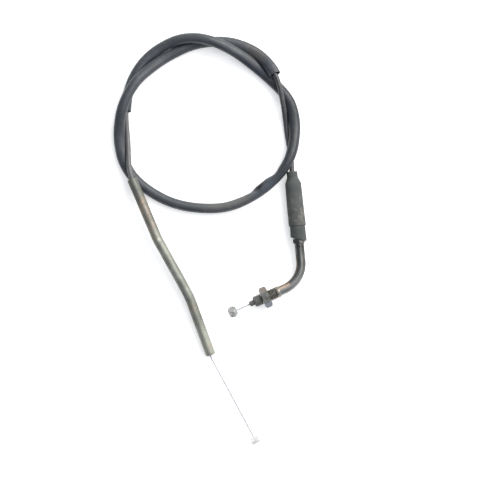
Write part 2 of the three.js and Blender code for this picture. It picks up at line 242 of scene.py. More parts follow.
class Axis:
    """A straight axis that turned pieces are measured along."""

    def __init__(self, origin, direction, up=UP):
        self.origin = np.array(origin, float)
        self.along = unit(direction)
        self.side = unit(np.cross(self.along, up))
        self.up = np.cross(self.side, self.along)

    def at(self, distance):
        return self.origin + self.along * distance

    def rings(self, outline, sides, shape=None):
        """Rings for an outline of (radius, distance) pairs. shape(radius, distance, angle) may
        change them."""
        angle = np.linspace(0, 2 * math.pi, sides, endpoint=False)[None, :]
        radius, distance = (np.array(v, float)[:, None] + 0 * angle for v in zip(*outline))
        if shape:
            radius, distance = shape(radius, distance, angle)
        out = np.cos(angle)[..., None] * self.side + np.sin(angle)[..., None] * self.up
        return self.origin + distance[..., None] * self.along + radius[..., None] * out


def rounded(outline, fillet, points=4):
    """A closed outline with its corners rounded."""
    corners = np.array(outline, float)
    made = []
    for i, corner in enumerate(corners):
        back = corners[i - 1] - corner
        on = corners[(i + 1) % len(corners)] - corner
        reach = min(fillet, 0.45 * np.linalg.norm(back), 0.45 * np.linalg.norm(on))
        start, end = corner + unit(back) * reach, corner + unit(on) * reach
        for t in np.linspace(0, 1, points):
            made.append(tuple(start * (1 - t) ** 2 + 2 * corner * t * (1 - t) + end * t**2))
    return made


def stations(length, step, edge):
    """Distances along a tube: close together in its rounded ends, a step apart between them."""
    end = edge * np.array([0, 0.12, 0.35, 0.65])
    middle = np.linspace(edge, length - edge, max(2, round(length / step)))
    return np.concatenate([end, middle, length - end[::-1]])


def end_rounding(s, length, edge):
    """How far a tube's rounded ends are drawn in at these distances."""
    x = np.clip(1 - np.minimum(s, length - s) / edge, 0, 1)
    return edge * (1 - np.sqrt(1 - x * x))


def hollow(line, radius, bore, sides, step, edge):
    """Rings out along a tube's outside and back through its bore."""
    s = stations(line.length, step, edge)

    def outside(s, angle):
        far = radius(s, angle) if callable(radius) else radius
        return far - end_rounding(s, line.length, edge) + 0 * angle

    def inside(s, angle):
        far = bore(s, angle) if callable(bore) else bore
        return far + end_rounding(s, line.length, edge) + 0 * angle

    return np.concatenate([line.skin(s, sides, outside), line.skin(s, sides, inside)[::-1]])


# ---------------------------------------------------------------- procedural finishes


class Finish:
    """A procedural material, built node by node. Patterns are sized in metres."""

    def __init__(self, name, metallic=0.0, **fixed):
        self.material = bpy.data.materials.new(name)
        self.material.use_nodes = True
        self.tree = self.material.node_tree
        self.shader = self.tree.nodes["Principled BSDF"]
        self.shader.inputs["Metallic"].default_value = metallic
        for socket, value in fixed.items():
            self.shader.inputs[socket].default_value = value
        self.place = self.node("ShaderNodeTexCoord").outputs["Object"]

    def put(self, node, socket, value):
        """Links another node's output to the socket, or sets the socket to a constant."""
        if isinstance(value, bpy.types.NodeSocket):
            self.tree.links.new(value, node.inputs[socket])
        else:
            node.inputs[socket].default_value = value

    def node(self, kind, inputs=None, **settings):
        made = self.tree.nodes.new(kind)
        for key, value in settings.items():
            setattr(made, key, value)
        for socket, value in (inputs or {}).items():
            self.put(made, socket, value)
        return made

    def noise(self, size, detail=4, stretch=None, seed=0.0):
        """Cloudy values from 0 to 1. stretch is how many times longer the clouds are along X, Y, Z."""
        place = self.place
        if stretch or seed:
            scale = [1 / v for v in stretch or (1, 1, 1)]
            shift = {"Vector": place, "Scale": scale, "Location": (seed, seed, seed)}
            place = self.node("ShaderNodeMapping", shift).outputs["Vector"]
        inputs = {"Vector": place, "Scale": 1 / size, "Detail": detail}
        return self.node("ShaderNodeTexNoise", inputs).outputs["Fac"]

    def spread(self, value, low, high, to_low=0.0, to_high=1.0):
        """The value's range low to high, stretched to another range and cut off there."""
        inputs = {
            "Value": value, "From Min": low, "From Max": high, "To Min": to_low, "To Max": to_high,
        }
        return self.node("ShaderNodeMapRange", inputs).outputs["Result"]

    def along(self, origin, direction, start, end):
        """0 before one distance along a direction from the origin given, 1 after another."""
        inputs = {0: self.place, 1: tuple(direction)}
        product = self.node("ShaderNodeVectorMath", inputs, operation="DOT_PRODUCT")
        base = float(np.dot(origin, direction))
        return self.spread(product.outputs["Value"], base + start, base + end)

    def near(self, centre, inner, outer):
        """1 within one distance of a point, 0 beyond another."""
        inputs = {0: self.place, 1: tuple(centre)}
        gap = self.node("ShaderNodeVectorMath", inputs, operation="DISTANCE")
        return self.spread(gap.outputs["Value"], inner, outer, 1.0, 0.0)

    def mix(self, share, a, b):
        return self.node("ShaderNodeMixRGB", {"Fac": share, "Color1": a, "Color2": b}).outputs["Color"]

    def ramp(self, value, stops):
        """A colour for each value: stops are (position, colour) pairs."""
        made = self.node("ShaderNodeValToRGB", {"Fac": value})
        while len(made.color_ramp.elements) < len(stops):
            made.color_ramp.elements.new(0.5)
        for element, (position, colour) in zip(made.color_ramp.elements, stops):
            element.position = position
            element.color = colour
        return made.outputs["Color"]

    def times(self, a, b):
        return self.node("ShaderNodeMath", {0: a, 1: b}, operation="MULTIPLY").outputs["Value"]

    def colour(self, value):
        self.put(self.shader, "Base Color", value)

    def stain(self, share, colour):
        """Lays a colour over the finish, as far as share says."""
        under = self.shader.inputs["Base Color"].links[0].from_socket
        self.colour(self.mix(share, under, colour))

    def roughness(self, value):
        self.put(self.shader, "Roughness", value)

    def bump(self, height, depth):
        """Relief from a height between 0 and 1, where 1 is depth metres high."""
        last = self.shader.inputs["Normal"]
        inputs = {"Height": height, "Distance": depth, "Strength": 1.0}
        if last.is_linked:
            inputs["Normal"] = last.links[0].from_socket
        made = self.node("ShaderNodeBump", inputs)
        self.tree.links.new(made.outputs["Normal"], last)


def rgb(red, green, blue):
    return (red, green, blue, 1.0)


def vinyl(name, dark, light, worn, rough):
    """Soft extruded plastic: a slight drift of colour, rubbed paler patches and a fine grain."""
    paint = Finish(name)
    cloud = paint.noise(0.018, detail=5)
    base = paint.ramp(cloud, [(0.35, dark), (0.68, light)])
    rubbed = paint.spread(paint.noise(0.006, detail=8, seed=3.0), 0.56, 0.72, 0, 0.55)
    paint.colour(paint.mix(rubbed, base, worn))
    fine = paint.noise(0.0005, detail=3)
    wear = paint.noise(0.009, detail=6, seed=7.0)
    paint.roughness(paint.spread(wear, 0.3, 0.7, rough - 0.09, rough + 0.1))
    paint.bump(fine, 0.00003)
    paint.bump(paint.noise(0.003, detail=2, seed=5.0), 0.00022)
    return paint


sleeve_vinyl = vinyl("sleeve_vinyl", rgb(0.034, 0.040, 0.049), rgb(0.052, 0.058, 0.068),
                     rgb(0.090, 0.096, 0.102), 0.42)
conduit_vinyl = vinyl("conduit_vinyl", rgb(0.040, 0.042, 0.048), rgb(0.062, 0.064, 0.071),
                      rgb(0.120, 0.119, 0.120), 0.33)
# The coil's lower turn is paler, most of all towards its inner side.
COIL_MIDDLE = (-0.0080, 0.1570, 0.0045)
low_turn = sleeve_vinyl.times(
    sleeve_vinyl.along((0, 0.130, 0), (0, -1, 0), 0.0, 0.028),
    sleeve_vinyl.along((-0.032, 0, 0), (1, 0, 0), 0.0, 0.046),
)
inner_side = sleeve_vinyl.near(COIL_MIDDLE, 0.0695, 0.0765)
sleeve_vinyl.stain(sleeve_vinyl.times(low_turn, inner_side), rgb(0.108, 0.110, 0.107))
# The coil's right side is painted darker, as painted shade.
right_side_shade = sleeve_vinyl.along((0.048, 0, 0), (1, 0, 0), 0.0, 0.014)
sleeve_vinyl.stain(sleeve_vinyl.times(right_side_shade, 0.85), rgb(0.014, 0.017, 0.023))
# The vinyl is tinted in three places: a dark bluish patch of painted shade on the lower strand at the
# top right, a paler bluish patch by the kink, and brownish at its front end.
for centre, reach, tint in (
    ((0.0290, 0.2070, 0.0045), 0.020, rgb(0.016, 0.023, 0.036)),
    ((0.0400, 0.1045, 0.0090), 0.020, rgb(0.066, 0.080, 0.100)),
    ((0.0340, 0.2200, 0.0090), 0.014, rgb(0.058, 0.055, 0.052)),
):
    tinted = sleeve_vinyl.near(centre, 0.35 * reach, reach)
    sleeve_vinyl.stain(sleeve_vinyl.times(tinted, 0.75), tint)
# The rear end of the conduit is paler than the front end.
rear = conduit_vinyl.along((-0.060, 0, 0), (-1, 0, 0), 0.0, 0.010)
conduit_vinyl.stain(conduit_vinyl.times(rear, 0.7), rgb(0.128, 0.127, 0.128))

boot_rubber = Finish("boot_rubber")
boot_axis = heading(BOOT_HEADING)
cloud = boot_rubber.noise(0.012, detail=5)
boot_rubber.colour(boot_rubber.ramp(cloud, [
    (0.32, rgb(0.046, 0.053, 0.051)),
    (0.70, rgb(0.080, 0.086, 0.085)),
]))
below_neck = boot_rubber.along(BOOT_TOP, boot_axis, 0.016, 0.034)
above_cuff = boot_rubber.along(BOOT_TOP, boot_axis, 0.050, 0.040)
dust = boot_rubber.spread(boot_rubber.noise(0.0045, detail=8, seed=2.0), 0.47, 0.64, 0, 0.85)
dust = boot_rubber.times(dust, boot_rubber.times(below_neck, above_cuff))
boot_rubber.stain(dust, rgb(0.158, 0.148, 0.126))
specks = boot_rubber.spread(boot_rubber.noise(0.0013, detail=5, seed=9.0), 0.63, 0.72, 0, 0.5)
boot_rubber.stain(specks, rgb(0.130, 0.124, 0.110))
boot_rubber.roughness(boot_rubber.spread(cloud, 0.3, 0.7, 0.72, 0.9))
boot_rubber.bump(boot_rubber.noise(0.0006, detail=4), 0.00006)
boot_rubber.bump(boot_rubber.noise(0.005, detail=3, seed=4.0), 0.00025)


def plated(name, stops, size, rough, seed=0.0, bump_size=0.002, bump_depth=0.00004, metallic=1.0):
    """Metal whose plating drifts through several colours, with a faintly uneven surface."""
    paint = Finish(name, metallic=metallic, **{"Specular Tint": rgb(0.42, 0.42, 0.43)})
    drift = paint.noise(size, detail=7, seed=seed)
    paint.colour(paint.ramp(drift, stops))
    paint.roughness(paint.spread(paint.noise(size / 3, detail=6, seed=seed + 5), 0.3, 0.7, *rough))
    paint.bump(paint.noise(bump_size, detail=5, seed=seed + 2), bump_depth)
    return paint


elbow_plate = plated("dark_plated_tube", [
    (0.30, rgb(0.066, 0.067, 0.064)),
    (0.52, rgb(0.102, 0.104, 0.100)),
    (0.66, rgb(0.150, 0.148, 0.130)),
    (0.72, rgb(0.260, 0.245, 0.140)),
], 0.009, (0.27, 0.40), seed=1.0, bump_depth=0.00002)

thread_plate = plated("dark_plated_thread", [
    (0.34, rgb(0.200, 0.194, 0.176)),
    (0.54, rgb(0.350, 0.333, 0.298)),
    (0.74, rgb(0.480, 0.420, 0.340)),
], 0.005, (0.26, 0.42), seed=6.0)

# The grooves' finish is dark dirt and painted shade.
groove_dirt_and_shade = plated("thread_grooves", [
    (0.35, rgb(0.055, 0.051, 0.043)),
    (0.65, rgb(0.125, 0.114, 0.094)),
], 0.002, (0.5, 0.7), seed=8.0, metallic=0.2)

screw_plate = plated("dark_plated_screw", [
    (0.32, rgb(0.105, 0.103, 0.098)),
    (0.55, rgb(0.200, 0.198, 0.188)),
    (0.72, rgb(0.300, 0.292, 0.265)),
], 0.004, (0.25, 0.40), seed=12.0)

nut_plate = plated("dull_zinc", [
    (0.32, rgb(0.110, 0.102, 0.090)),
    (0.46, rgb(0.160, 0.165, 0.156)),
    (0.70, rgb(0.240, 0.250, 0.246)),
], 0.004, (0.30, 0.48), seed=20.0, bump_size=0.0011, bump_depth=0.00006)

zinc_plate = plated("zinc_plated", [
    (0.35, rgb(0.330, 0.330, 0.320)),
    (0.65, rgb(0.480, 0.485, 0.480)),
], 0.004, (0.3, 0.45), seed=25.0)

cast_zinc = plated("cast_zinc", [
    (0.32, rgb(0.300, 0.310, 0.292)),
    (0.52, rgb(0.450, 0.465, 0.440)),
    (0.70, rgb(0.600, 0.610, 0.600)),
], 0.0022, (0.38, 0.55), seed=30.0, bump_size=0.0007, bump_depth=0.00007, metallic=0.85)

bright_zinc = plated("bright_zinc", [
    (0.35, rgb(0.600, 0.615, 0.612)),
    (0.65, rgb(0.830, 0.830, 0.795)),
], 0.003, (0.45, 0.60), seed=40.0, bump_size=0.0008, bump_depth=0.00005, metallic=0.25)

steel_wire = plated("steel_wire", [
    (0.35, rgb(0.560, 0.575, 0.600)),
    (0.65, rgb(0.720, 0.738, 0.765)),
], 0.003, (0.55, 0.70), seed=35.0, metallic=0.5)

galvanised = Finish("galvanised_tube", metallic=0.6, **{"Specular Tint": rgb(0.5, 0.5, 0.5)})
guide_axis = unit(GUIDE_POINTS[-1] - GUIDE_POINTS[0])
galvanised.colour(galvanised.ramp(galvanised.noise(0.014, detail=8, seed=2.0), [
    (0.30, rgb(0.160, 0.166, 0.146)),
    (0.50, rgb(0.245, 0.253, 0.222)),
    (0.70, rgb(0.335, 0.350, 0.305)),
]))
# It is darker at its top and paler towards its mouth.
top_darker = galvanised.along(GUIDE_POINTS[0], guide_axis, 0.055, 0.010)
galvanised.stain(galvanised.times(top_darker, 0.75), rgb(0.120, 0.126, 0.112))
mouth_paler = galvanised.along(GUIDE_POINTS[-1], guide_axis, -0.032, -0.006)
galvanised.stain(galvanised.times(mouth_paler, 0.6), rgb(0.430, 0.437, 0.370))
wear = galvanised.noise(0.004, detail=7, seed=6.0)
galvanised.roughness(galvanised.spread(wear, 0.3, 0.7, 0.42, 0.58))
galvanised.bump(galvanised.noise(0.0024, detail=6, seed=8.0), 0.00006)

black_plastic = Finish("black_plastic")
cloud = black_plastic.noise(0.003, detail=6)
black_plastic.colour(black_plastic.ramp(cloud, [
    (0.35, rgb(0.076, 0.079, 0.072)),
    (0.68, rgb(0.126, 0.129, 0.119)),
]))
black_plastic.roughness(black_plastic.spread(cloud, 0.3, 0.7, 0.42, 0.6))
black_plastic.bump(black_plastic.noise(0.0005, detail=3), 0.00003)

nylon = Finish("nylon", **{"Subsurface Weight": 0.1})
cloud = nylon.noise(0.004, detail=4)
nylon.colour(nylon.ramp(cloud, [(0.35, rgb(0.66, 0.63, 0.52)), (0.65, rgb(0.74, 0.72, 0.62))]))
nylon.roughness(nylon.spread(cloud, 0.3, 0.7, 0.4, 0.55))

# ---------------------------------------------------------------- making pieces


def piece(name, rings, finish, body, nodes=(), closed=False, sharp=40):
    """A smooth skin over rings of points, riding on a body in place of CAD nodes."""
    rows, sides, _ = rings.shape
    faces = []
    for i in range(rows if closed else rows - 1):
        here, there = i * sides, (i + 1) % rows * sides
        for j in range(sides):
            k = (j + 1) % sides
            faces.append((here + j, here + k, there + k, there + j))
    if not closed:
        faces.append(range(sides))
        faces.append(range((rows - 1) * sides, rows * sides))
    mesh = bpy.data.meshes.new(name)
    points = rings.reshape(-1, 3).tolist()
    mesh.from_pydata(points, [], [list(face) for face in faces])
    edit = bmesh.new()
    edit.from_mesh(mesh)
    bmesh.ops.recalc_face_normals(edit, faces=edit.faces)
    edit.to_mesh(mesh)
    edit.free()
    mesh.polygons.foreach_set("use_smooth", [True] * len(mesh.polygons))
    mesh.set_sharp_from_angle(angle=math.radians(sharp))
    mesh.materials.append(finish.material)
    made = bpy.data.objects.new(name, mesh)
    bpy.context.scene.collection.objects.link(made)
    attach(made, body)
    if nodes:
        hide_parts(*nodes)
    return made


def steady_normals(made):
    """Keeps flat faces flat beside small rounded edges."""
    modifier = made.modifiers.new("normals", "WEIGHTED_NORMAL")
    modifier.keep_sharp = True
    return made


def rough_up(made, size, depth):
    """Moves the points in and out a little, as on a moulded or cast surface."""
    for vertex in made.data.vertices:
        vertex.co += vertex.normal * depth * noise.noise(vertex.co / size)
    return made


def stranded(line, strands=12, lay=0.010, sides=48, step=0.0006):
    """Rings of a twisted wire: round strands side by side about a core."""
    strand = WIRE_RADIUS * math.sin(math.pi / strands) / (1 + math.sin(math.pi / strands))
    middle = WIRE_RADIUS - strand

    def lobes(s, angle):
        turn = np.mod(angle - 2 * math.pi * s / lay, 2 * math.pi / strands) - math.pi / strands
        dip = np.sqrt(np.clip(strand**2 - (middle * np.sin(turn)) ** 2, 0, None))
        return middle * np.cos(turn) + dip

    s = np.linspace(0, line.length, round(line.length / step))
    return line.skin(s, sides, lobes)


# ---------------------------------------------------------------- the cords

wire_in_elbow = BOOT_TOP + boot_axis * (CONDUIT_SEAT + LEAD)
guide_line = bent_line(GUIDE_POINTS, GUIDE_BEND)
in_guide = [guide_line.at(share * guide_line.length) for share in (0.22, 0.45, 0.70)]
centre_line = curve_through([wire_in_elbow, *ROUTE, *in_guide])

conduit_line = centre_line.softened(LEAD, LEAD + CONDUIT_LENGTH)


# The jacket is drawn over a steel spiral and waves a little: height and length of each wave.
CONDUIT_WAVES = [(0.00004, 0.017), (0.00003, 0.0061)]


def conduit_radius(s, angle):
    """The jacket's radius; with its waves it stays within 0.02 mm of the nominal one or below it."""
    wave = sum(height * np.sin(2 * math.pi * s / length) for height, length in CONDUIT_WAVES)
    return CONDUIT_RADIUS - 0.00005 + wave + 0 * angle


conduit_at = stations(conduit_line.length, 0.002, TUBE_EDGE)
conduit_nodes = ["conduit_jacket", "conduit_armour", "conduit_liner", "inner_wire"]
conduit = piece("conduit", conduit_line.skin(conduit_at, 20, conduit_radius), conduit_vinyl, "root",
                conduit_nodes)
conduit_line.at(conduit_at)

sleeve_line = centre_line.softened(LEAD + SLEEVE_FROM, LEAD + SLEEVE_TO)
# Where the soft tube is out of round: distance along it, reach, share wider sideways.
FLATTENED = [
    (0.010, 0.042, 0.170),
    (0.115, 0.026, 0.085),
    (0.200, 0.045, 0.110),
    (0.396, 0.010, 0.070),
    (0.424, 0.018, 0.130),
    (0.480, 0.034, 0.120),
    (0.575, 0.030, 0.060),
    (0.637, 0.014, 0.040),
]
# Dents, and bulges below zero, where it is bent sharply or pressed against its neighbour: distance
# along it, reach, angle round it in degrees, reach round it, depth.
DENTS = [
    (0.0290, 0.0130, 180, 0.20, -0.0006),
    (0.0580, 0.0060, 120, 0.12, 0.0003),
    (0.2030, 0.0170, 180, 0.20, -0.0012),
    (0.2050, 0.0045, 20, 0.12, 0.0003),
    (0.3390, 0.0080, 180, 0.20, 0.0004),
    (0.3440, 0.0030, 180, 0.20, 0.0005),
    (KINK, 0.0058, 138, 0.10, 0.0027),
    (0.3520, 0.0060, 180, 0.20, -0.0012),
    (0.3605, 0.0055, 180, 0.20, -0.0011),
    (0.3712, 0.0045, 180, 0.20, 0.0012),
    (0.3640, 0.0040, 110, 0.10, 0.0005),
    (0.4280, 0.0130, 180, 0.20, -0.0008),
    (0.4880, 0.0120, 0, 0.20, -0.0006),
    (0.5000, 0.0060, 60, 0.12, 0.0003),
]


def out_of_round(s, angle):
    """The sleeve's real radius as a share of its nominal one."""
    wide = 0.01 + sum(share * bell(s, where, reach) for where, reach, share in FLATTENED)
    far = 1 + wide * np.cos(2 * angle) + 0.006 * np.sin(2 * math.pi * s / 0.023)
    for where, reach, turn, turn_reach, depth in DENTS:
        round_it = np.exp((np.cos(angle - math.radians(turn)) - 1) / turn_reach)
        far = far - depth / SLEEVE_RADIUS * bell(s, where, reach) * round_it
    return far


SLEEVE_STEP = 0.0016
SLEEVE_EDGE = 0.00035


def sleeve_outside(s, angle):
    smallest = CONDUIT_RADIUS + SLEEVE_CLEARANCE + SLEEVE_WALL
    return np.maximum(SLEEVE_RADIUS * out_of_round(s, angle), smallest)


def sleeve_inside(s, angle):
    """Never as small as the conduit, even in a dent."""
    bore = np.maximum(SLEEVE_BORE * out_of_round(s, angle), CONDUIT_RADIUS + SLEEVE_CLEARANCE)
    return np.minimum(bore, sleeve_outside(s, angle) - SLEEVE_WALL)


def cut_aslant(rings, line):
    """Draws the upper side of the sleeve's two ends in."""
    at = stations(line.length, SLEEVE_STEP, SLEEVE_EDGE)
    around = np.linspace(0, 2 * math.pi, rings.shape[1], endpoint=False)[None, :, None]
    nudge = 0.001
    first, last = line.at(0.0), line.at(line.length)
    for from_end, inward in (
        (at, unit(line.at(nudge) - first)),
        (line.length - at, unit(line.at(line.length - nudge) - last)),
    ):
        out_and_back = np.concatenate([from_end, from_end[::-1]])
        share = np.clip(1 - out_and_back / SLEEVE_SLANT_REACH, 0, 1)[:, None, None]
        rings = rings + share * SLEEVE_SLANT * (1 + np.sin(around)) / 2 * inward
    return rings


sleeve_rings = hollow(sleeve_line, sleeve_outside, sleeve_inside, 32, SLEEVE_STEP, SLEEVE_EDGE)
sleeve_rings = cut_aslant(sleeve_rings, sleeve_line)
sleeve = piece("sleeve", sleeve_rings, sleeve_vinyl, "root", ["protective_sleeve"],
               closed=True)
tuple(sleeve_line.at(0.0))

# The crease in its sharpest bend is painted near black: painted shade in the hollow of the dent.
crease = sleeve_line.at(KINK) + np.array((-0.0016, 0.0026, 0.0018))
sleeve_vinyl.stain(sleeve_vinyl.near(crease, 0.0012, 0.0052), rgb(0.014, 0.015, 0.016))

# ---------------------------------------------------------------- adjuster and boot

adjuster = Axis(BOOT_TOP, boot_axis)

boot_outline = [
    (0.00300, 0.0), (0.00470, 0.0), (0.00468, 0.0050), (0.00690, 0.0101), (0.00712, 0.0250),
    (0.00730, 0.0370), (0.00722, 0.0376), (0.00724, 0.0392), (0.00734, 0.0398), (0.00737, 0.0462),
    (0.00660, 0.0466), (0.00662, 0.0530), (0.00676, 0.0545), (0.00676, BOOT_LENGTH),
    (0.00585, BOOT_LENGTH), (0.00585, 0.0120), (0.00300, 0.0103),
]


def boot_tilt(radius, distance, angle):
    """The boot hangs further down on one side."""
    lowest = np.clip((distance - BOOT_LENGTH) / BOOT_HANG + 1, 0, 1)
    return radius, distance + lowest**1.5 * (0.0007 - 0.0021 * np.cos(angle))


boot_rings = adjuster.rings(rounded(boot_outline, 0.0006, 5), 56, boot_tilt)
boot = piece("boot", boot_rings, boot_rubber, "root", ["adjuster_boot"],
             closed=True, sharp=60)
rough_up(boot, 0.006, 0.00010)


def hexagon_rings(axis, across, bore, start, thick, chamfer, sides=72, turn=0.0):
    """Rings of a nut, whose corners are turned off by a shallow cone at both faces. chamfer is the
    flat face's width as a share of the width across the flats."""
    rim = chamfer * across / 2

    def shape(radius, distance, angle):
        toward = np.mod(angle + turn, math.pi / 3) - math.pi / 6
        corner = across / 2 / np.cos(toward)
        wall = radius > across
        lowered = (corner - rim) * math.tan(math.radians(30))
        at_start = distance < start + thick / 2
        edge = np.where(at_start, start + lowered, start + thick - lowered)
        return np.where(wall, corner, radius), np.where(wall, edge, distance)

    beyond = 2 * across  # marks the points that shape() puts on the hexagon
    end = start + thick
    lip = 0.0004
    outline = [
        (bore, start + lip), (bore + lip, start), (rim * 0.9, start), (rim, start), (beyond, start),
        (beyond, end), (rim, end), (rim * 0.9, end), (bore + lip, end), (bore, end - lip),
    ]
    return axis.rings(outline, sides, shape)


def bevelled(made, width):
    """Takes the sharp edges off a piece."""
    modifier = made.modifiers.new("edges", "BEVEL")
    modifier.width = width
    modifier.segments = 2
    modifier.limit_method = "ANGLE"
    modifier.angle_limit = math.radians(28)
    modifier.harden_normals = True
    return made


def threaded(radius, pitch, start, end, depth):
    """A shape for Axis.rings: a 60 degree screw thread that runs in and out at its ends."""
    steepness, crest = 2.6, 0.25

    def shape(far, distance, angle):
        phase = np.mod(distance / pitch - angle / (2 * math.pi), 1)
        tooth = np.clip(np.abs(phase - 0.5) * steepness - crest, 0, 1)
        inside = np.clip((distance - start) / pitch, 0, 1) * np.clip((end - distance) / pitch, 0, 1)
        on_thread = np.abs(far - radius) < 1e-6
        return np.where(on_thread, far - depth * tooth * inside, far), distance

    return shape


def shade_and_dirty_grooves(made, axis, below, start, end):
    """Gives the faces in a thread's grooves a second, darker finish: dirt, and painted shade in the
    grooves.
    """
    made.data.materials.append(groove_dirt_and_shade.material)
    for face in made.data.polygons:
        from_start = np.array(face.center) - axis.origin
        distance = from_start @ axis.along
        out = np.linalg.norm(from_start - distance * axis.along)
        if below - 0.0006 < out < below and start < distance < end:
            face.material_index = 1


def fine(radius, start, end, step):
    """Outline points a step apart along a cylinder."""
    return [(radius, s) for s in np.linspace(start, end, round((end - start) / step))]


shank_start = SCREW_HEAD_TOP - SCREW_SHANK
shank_outline = [
    (SCREW_BORE, shank_start), (0.0030, shank_start),
    *fine(SCREW_RADIUS, shank_start + 0.0004, SCREW_HEAD_TOP - 0.0004, 0.0001),
    (0.0030, SCREW_HEAD_TOP - 0.0002), (0.0030, SCREW_HEAD_TOP + 0.0003),
    (SCREW_BORE, SCREW_HEAD_TOP + 0.0003),
]
shank_shape = threaded(SCREW_RADIUS, SCREW_PITCH, shank_start, SCREW_HEAD_TOP, depth=0.0005)
shank = piece("adjuster_shank", adjuster.rings(shank_outline, 48, shank_shape), screw_plate, "adjuster",
              ["adjuster_screw"], closed=True)
shade_and_dirty_grooves(shank, adjuster, SCREW_RADIUS - 0.0002, shank_start, SCREW_HEAD_TOP)

head_rings = hexagon_rings(adjuster, SCREW_HEAD_ACROSS, SCREW_BORE, SCREW_HEAD_TOP, SCREW_HEAD,
                           chamfer=0.97, turn=math.pi / 6)
head = piece("adjuster_head", head_rings, screw_plate, "adjuster", closed=True)
bevelled(head, 0.00012)
# The head's lower rim is rolled in round the elbow tube.
rim_outline = rounded([
    (0.00410, SCREW_HEAD_TOP + 0.0030), (0.00470, SCREW_HEAD_TOP + 0.0030),
    (0.00462, SCREW_HEAD_TOP + 0.0040), (0.00410, SCREW_HEAD_TOP + 0.0043),
], 0.0002, 4)
piece("adjuster_rim", adjuster.rings(rim_outline, 48), screw_plate, "adjuster",
      closed=True)

# ---------------------------------------------------------------- elbow and handlebar end

elbow_corner = adjuster.at(ELBOW_CORNER)
grip_axis = heading(BOOT_HEADING - ELBOW_TURN)
tip = elbow_corner + grip_axis * TIP_FROM_CORNER
grip = Axis(tip, -grip_axis)
elbow_line = bent_line([
    adjuster.at(ELBOW_START),
    elbow_corner,
    grip.at(COLLAR_END - BUSH_POCKET + 0.0003),
], ELBOW_BEND)


def elbow_radius(s, angle):
    """Bending has made the tube a little taller than wide, and it is dented where it was staked."""
    oval = 0.02 * bell(s, 0.030, 0.014)
    stake = 0.0004 * bell(s, 0.0062, 0.0009) * np.exp((np.cos(angle - 1.25) - 1) / 0.03)
    return ELBOW_RADIUS * (1 - oval * np.cos(2 * angle)) - stake


elbow_rings = hollow(elbow_line, elbow_radius, ELBOW_BORE, 48, 0.0006, TUBE_EDGE)
piece("elbow", elbow_rings, elbow_plate, "elbow", ["elbow_tube"], closed=True)

# Past the bend the plating is painted brighter, a painted highlight; the bend's inside is dark brown.
bright = elbow_plate.along(elbow_corner, grip_axis, -0.010, 0.008)
elbow_plate.stain(elbow_plate.times(bright, 0.8), rgb(0.330, 0.338, 0.328))
bend_start = elbow_corner - boot_axis * ELBOW_BEND * math.tan(ELBOW_TURN / 2)
bend_centre = bend_start + unit(grip_axis - boot_axis * (boot_axis @ grip_axis)) * ELBOW_BEND
bend_inside = elbow_plate.near(bend_centre, 0.0203, 0.0222)
elbow_plate.stain(elbow_plate.times(bend_inside, 0.85), rgb(0.078, 0.062, 0.044))
# A coppery line is painted beside the collar: the brazing's copper tint with a painted highlight on it.
lateral = np.cross(grip.along, UP)
for distance in np.linspace(0.0288, 0.0372, 5):
    spot = grip.at(distance) - lateral * 0.0022 + (0, 0, 0.0033)
    tinted = elbow_plate.near(spot, 0.0004, 0.0019)
    elbow_plate.stain(elbow_plate.times(tinted, 0.85), rgb(0.86, 0.64, 0.49))

pocket_floor = COLLAR_END - BUSH_POCKET
bush_outline = [
    (BUSH_BORE, THREAD_START), (THREAD_RADIUS - 0.0006, THREAD_START),
    *fine(THREAD_RADIUS, THREAD_START + 0.0006, COLLAR_START - 0.0008, 0.00009),
    (THREAD_RADIUS - 0.0006, COLLAR_START - 0.0005), (THREAD_RADIUS - 0.0006, COLLAR_START - 0.0001),
    (COLLAR_RADIUS - 0.0001, COLLAR_START), (COLLAR_RADIUS, COLLAR_START + 0.0002),
    (COLLAR_RADIUS, COLLAR_END - 0.0006), (COLLAR_RADIUS - 0.0001, COLLAR_END - 0.0002),
    (COLLAR_RADIUS - 0.0004, COLLAR_END),
    (BUSH_POCKET_RADIUS, COLLAR_END), (BUSH_POCKET_RADIUS, pocket_floor), (BUSH_BORE, pocket_floor),
]
bush_shape = threaded(THREAD_RADIUS, THREAD_PITCH, THREAD_START, COLLAR_START, depth=0.00072)
bush = piece("threaded_bush", grip.rings(bush_outline, 60, bush_shape), thread_plate, "elbow",
             ["threaded_end"], closed=True)
shade_and_dirty_grooves(bush, grip, THREAD_RADIUS - 0.0003, THREAD_START, COLLAR_START)

# Brazing fills the corner between the collar and the tube.
braze_outline = rounded([
    (0.00395, COLLAR_END - 0.0006), (0.00440, COLLAR_END - 0.0002), (0.00435, COLLAR_END + 0.0003),
    (0.00395, COLLAR_END + 0.0010),
], 0.0003, 4)
piece("braze_fillet", grip.rings(braze_outline, 48), thread_plate, "elbow", closed=True)

nut_rings = hexagon_rings(grip, NUT_ACROSS, NUT_BORE, THREAD_START, NUT_THICK, chamfer=0.95)
nut = piece("lock_nut_16mm", nut_rings, nut_plate, "nut", ["lock_nut"], closed=True)
bevelled(nut, 0.00018)
# Its upper faces are painted in different tones, one warm and one cold: painted light and shade that
# sets them apart.
warm = nut_plate.along(tip, -lateral, 0.0038, 0.0050)
nut_plate.stain(nut_plate.times(warm, 0.8), rgb(0.270, 0.242, 0.212))
cold = nut_plate.along(tip, lateral, 0.0038, 0.0050)
nut_plate.stain(nut_plate.times(cold, 0.8), rgb(0.215, 0.232, 0.262))


def nozzle_lobes(radius, distance, angle):
    """The nozzle's tip has two flats, so that its end shows two lobes."""
    on_tip = (distance < 0.0040) & (radius > 0.0020)
    flats = 0.00045 * np.abs(np.cos(angle)) ** 6
    return np.where(on_tip, radius - flats, radius), distance


